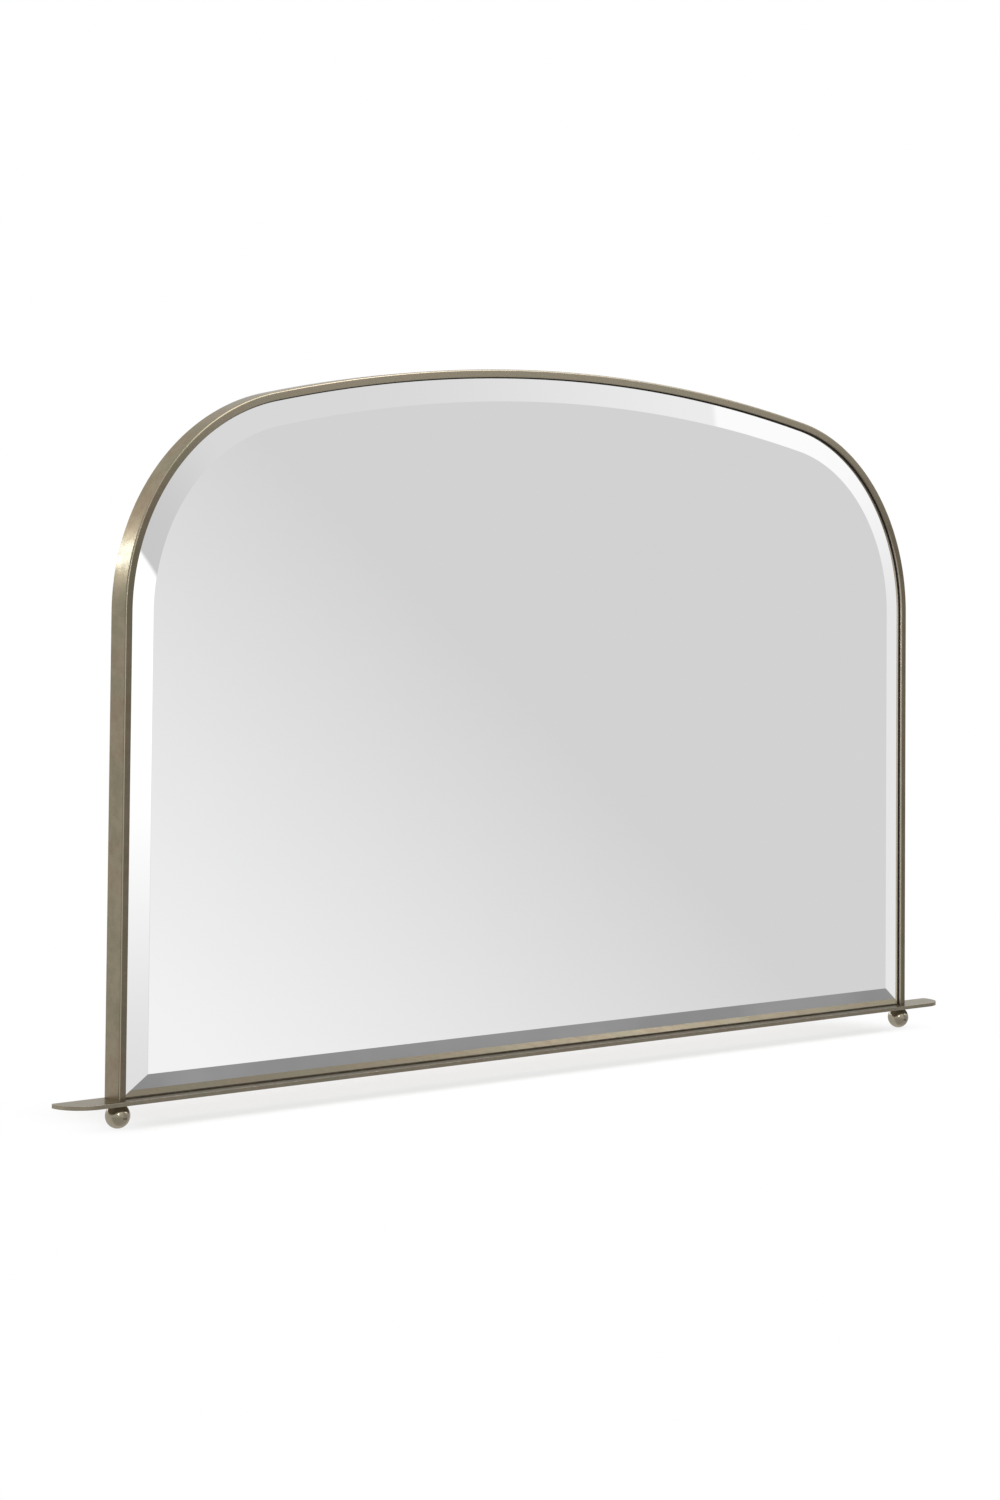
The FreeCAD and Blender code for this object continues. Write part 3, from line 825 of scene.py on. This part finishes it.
# %% Finishes
finish_of = {
    "base_bar": bar_metal,
    "frame_hoop": frame_metal,
    "ball_feet": ball_metal,
    "mirror_glass": mirror_glass,
    "mirror_silvering": backing_paint,
    "mirror_tape": foam_tape,
    "edge_gasket": black_rubber,
    "setting_strip": dusty_rubber,
    "backing_board": fibreboard,
    "spring_clip": spring_steel,
    "foot_block": zinc_steel,
    "hanger_screws": plated_screw,
    "bracket_screws": plated_screw,
    "hanger": zinc_steel,
    "ball_studs": zinc_steel,
    "board_bracket": zinc_steel,
    "post_screws": zinc_steel,
    "bracket": zinc_steel,
}
finish_of_new_piece = {
    bent_frame: frame_metal,
    shelf_bar: bar_metal,
    turned_balls: ball_metal,
    beveled_glass: mirror_glass,
    rubber_gasket: black_rubber,
}


def paint(piece, material):
    """Gives a piece one material all over."""
    piece.data.materials.clear()
    piece.data.materials.append(material)


for name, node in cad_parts.items():
    beginning = next(start for start in finish_of if name.startswith(start))
    for material_slot in node.material_slots:
        material_slot.link = "OBJECT"
        material_slot.material = finish_of[beginning]
for piece, material in finish_of_new_piece.items():
    paint(piece, material)
print("finishes given to", len(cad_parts), "nodes and", len(finish_of_new_piece), "new pieces")

# %% [markdown]
# ## The studio
# A mirror is photographed by arranging what it reflects. All of the studio is worked out from the
# direction that a ray leaves in, as two angles in degrees: how far round it goes from straight out
# of the mirror, with right as positive, and how high. Each change from one thing to the next is a
# pair of angles, where it starts and where it is complete.

# %% Directions in the studio
silver_share = 0.968
degrees = 180 / math.pi

world = bpy.data.worlds.new("studio")
bpy.context.scene.world = world
sheet = Sheet(world)
ray_direction = sheet.add("ShaderNodeTexCoord", output="Generated")
to_right = sheet.part_of(ray_direction, "X")
to_front = -1 * sheet.part_of(ray_direction, "Y")
upwards = sheet.part_of(ray_direction, "Z")
around = sheet.add("ShaderNodeMath", {"operation": "ARCTAN2"}, {0: to_right, 1: to_front}) * degrees
height = sheet.add("ShaderNodeMath", {"operation": "ARCSINE"}, {0: upwards}) * degrees


def seen(level):
    """The light that shows as an sRGB level after the silver has taken its small part."""
    return linear(level) / silver_share


def go_over(amount, first, second):
    """One level going over into another."""
    return first + amount * (second - first)


def panel(sides, rows):
    """How far a direction lies on an oblong panel: two side edges, and a lower and an upper edge."""
    return sheet.band(around, *sides) * sheet.band(height, *rows)


print("a wall seen at level 210 gives off", round(seen(210), 3))

# %% [markdown]
# ## The walls
# The flat of the glass reflects a grey wall that brightens towards the lower left. Higher up the
# wall is dim on the left and bright on the right, which the bevel round the arch shows as it turns.
# A white panel on the left lights the left bevel, and a pale side wall the right one.

# %% Walls
wall_glow = {"From Min": 39.6, "From Max": 27.3}
dim_side_brightens = (22.5, 30)
upper_wall_brightens = (37, 49)
upper_panel_edge = (47.8, 48.0)
upper_wall_starts = (4.5, 8.5)
dim_side_ends = (26, 32)
left_panel_brightens = (-9.5, -2.5)
left_panel_edge = (22.86, 23.0)
left_panel_level = 1.08
right_side_brightens = (-1, 9)
right_side_starts = (50, 58)

glow = sheet.add("ShaderNodeMapRange", {}, {"Value": around + height, **wall_glow})
wall = go_over(glow, seen(210), seen(242))
dim_side = go_over(sheet.ramp(around, *dim_side_brightens), seen(199), seen(216))
upper_wall = go_over(sheet.ramp(around, *upper_wall_brightens), dim_side, seen(236))
upper_wall = go_over(sheet.ramp(around, *upper_panel_edge), upper_wall, seen(251))
room = go_over(sheet.ramp(height, *upper_wall_starts), wall, upper_wall)
room = go_over(1 - sheet.ramp(around, *dim_side_ends), room, dim_side)

left_panel = go_over(sheet.ramp(height, *left_panel_brightens), seen(222), left_panel_level)
room = go_over(1 - sheet.ramp(around, *left_panel_edge), room, left_panel)

right_side = go_over(sheet.ramp(height, *right_side_brightens), seen(230), seen(249))
room = go_over(sheet.ramp(around, *right_side_starts), room, right_side)
print("the walls take", len(world.node_tree.nodes), "nodes")

# %% [markdown]
# ## Carpet, back wall, ceiling and panels
# A dark carpet low down turns the bottom bevel grey. The back of the room and the ceiling are
# brighter than the walls, which lights the hardware behind the glass and the metal's upper faces.
# The ceiling starts higher up ahead on the right, where the top bevel would reflect it. A bright
# panel high on the right draws the light line on the crown. Two small ones, a little above the
# horizon behind and on the right, are highlights on the balls.

# %% Carpet, back wall, ceiling and panels
carpet_sides = ((16, 25), (60, 70))
carpet_rows = ((-31, -25), (-17, -13))
carpet_cloud_scale = 26.0
carpet_cloud_levels = (0.35, 0.65)
back_wall_starts = (75, 100)
back_level = 1.15
ceiling_starts = (15, 26)
higher_ahead = ((5, 22), (60, 75))
higher_by = 14
ceiling_level = 1.5
crown_panel_sides = ((50, 58), (112, 122))
crown_panel_rows = ((38, 43), (58, 64))
crown_panel_level = 3.1
behind_starts = (156, 164)
behind_rows = ((9, 11), (19, 22))
right_spot_sides = ((55, 57), (66, 69))
right_spot_rows = ((13, 15), (18, 20))
spot_level = 4.0

cloud = sheet.add("ShaderNodeTexNoise", {}, {
    "Vector": ray_direction, "Scale": carpet_cloud_scale, "Detail": 3.0})
carpet = go_over(sheet.ramp(cloud, *carpet_cloud_levels), seen(139), seen(148))
room = go_over(panel(carpet_sides, carpet_rows), room, carpet)
room = go_over(sheet.ramp(abs(around), *back_wall_starts), room, back_level)
ceiling_height = height - sheet.band(around, *higher_ahead) * higher_by
room = go_over(sheet.ramp(ceiling_height, *ceiling_starts), room, ceiling_level)
room = go_over(panel(crown_panel_sides, crown_panel_rows), room, crown_panel_level)
low_behind = sheet.ramp(abs(around), *behind_starts) * sheet.band(height, *behind_rows)
room = go_over(low_behind, room, spot_level)
room = go_over(panel(right_spot_sides, right_spot_rows), room, spot_level)
print("with carpet, back wall, ceiling and panels", len(world.node_tree.nodes), "nodes")

# %% [markdown]
# ## Who sees the studio
# Reflections see the room as it was just drawn. Soft rays, which light matt surfaces, see one even
# fill level instead, and the camera sees plain white.

# %% World shader
fill_level = 0.55
soft_ray = sheet.add("ShaderNodeLightPath", output="Is Diffuse Ray")
room = go_over(soft_ray, room, fill_level)
grey = sheet.add("ShaderNodeCombineColor", {}, {"Red": room, "Green": room, "Blue": room})
camera_ray = sheet.add("ShaderNodeLightPath", output="Is Camera Ray")
light_colour = sheet.blend(camera_ray, grey, (1, 1, 1, 1))
sky = sheet.add("ShaderNodeBackground", {}, {"Color": light_colour, "Strength": 1.0})
sheet.add("ShaderNodeOutputWorld", {}, {"Surface": sky})
print("the studio has", len(world.node_tree.nodes), "nodes")

# %% [markdown]
# ## The floor
# The floor is a plain pale sheet. In a box round the bar the camera sees a share of its soft
# shadow, and further out it sees pure white, so the floor has no visible end.

# %% Floor
floor_height = ball_middle - ball_radius
floor_size = 40.0
floor_mesh = bmesh.new()
bmesh.ops.create_grid(floor_mesh, x_segments=1, y_segments=1, size=floor_size / 2,
                      matrix=Matrix.Translation((0, 0, floor_height)))
floor_data = bpy.data.meshes.new("floor")
floor_mesh.to_mesh(floor_data)
floor_mesh.free()
floor = bpy.data.objects.new("floor", floor_data)
bpy.context.scene.collection.objects.link(floor)
floor.visible_glossy = False

shadow_ends_sideways = (0.50, 0.63)
shadow_starts_in_front = (-0.5, -0.3)
shadow_ends_behind = (0.05, 0.17)
shadow_share = 0.35
pale_colour = (0.92, 0.92, 0.92, 1.0)
floor_paint, sheet = new_material("floor_paint")
pale = sheet.add("ShaderNodeBsdfDiffuse", {}, {"Color": pale_colour})
white = sheet.add("ShaderNodeEmission", {}, {"Color": (1, 1, 1, 1), "Strength": 1.0})
is_camera = sheet.add("ShaderNodeLightPath", output="Is Camera Ray")
along_bar = 1 - sheet.ramp(abs(sheet.part_of(sheet.place(), "X")), *shadow_ends_sideways)
near_bar = sheet.band(sheet.part_of(sheet.place(), "Y"), shadow_starts_in_front, shadow_ends_behind)
white_share = is_camera * (1 - along_bar * near_bar * shadow_share)
shown = sheet.add("ShaderNodeMixShader", {}, {0: white_share, 1: pale, 2: white})
sheet.add("ShaderNodeOutputMaterial", {}, {"Surface": shown})
paint(floor, floor_paint)
print("floor at", round(floor_height, 4), "m")

# %% [markdown]
# ## The lamps
# A large soft lamp overhead gives the shadow under the bar. One behind the camera and one far out
# on the right brighten the metal's fronts and right sides. A small one beyond the wall on the left
# puts the bright flash on the bend of the frame.

# %% Lamps
def soft_lamp(name, place, target, size, watts):
    """A square soft lamp that points at a target."""
    lamp_data = bpy.data.lights.new(name, "AREA")
    lamp_data.shape = "SQUARE"
    lamp_data.size = size
    lamp_data.energy = watts
    lamp = bpy.data.objects.new(name, lamp_data)
    bpy.context.scene.collection.objects.link(lamp)
    lamp.location = place
    lamp.rotation_euler = (Vector(target) - Vector(place)).to_track_quat("-Z", "Y").to_euler()
    print(name, watts, "W")


object_middle = (0, 0, 0.35)
left_bend = (-0.57, 0, 0.53)
soft_lamp("key_lamp", place=(0.1, -0.7, 2.7), target=object_middle, size=2.0, watts=44)
soft_lamp("camera_lamp", place=(-2.4, -3.9, 1.6), target=object_middle, size=0.9, watts=24)
soft_lamp("right_lamp", place=(5.9, -5.35, 4.1), target=object_middle, size=0.8, watts=40)
soft_lamp("bend_lamp", place=(-2.1, 2.46, 1.38), target=left_bend, size=0.4, watts=11)
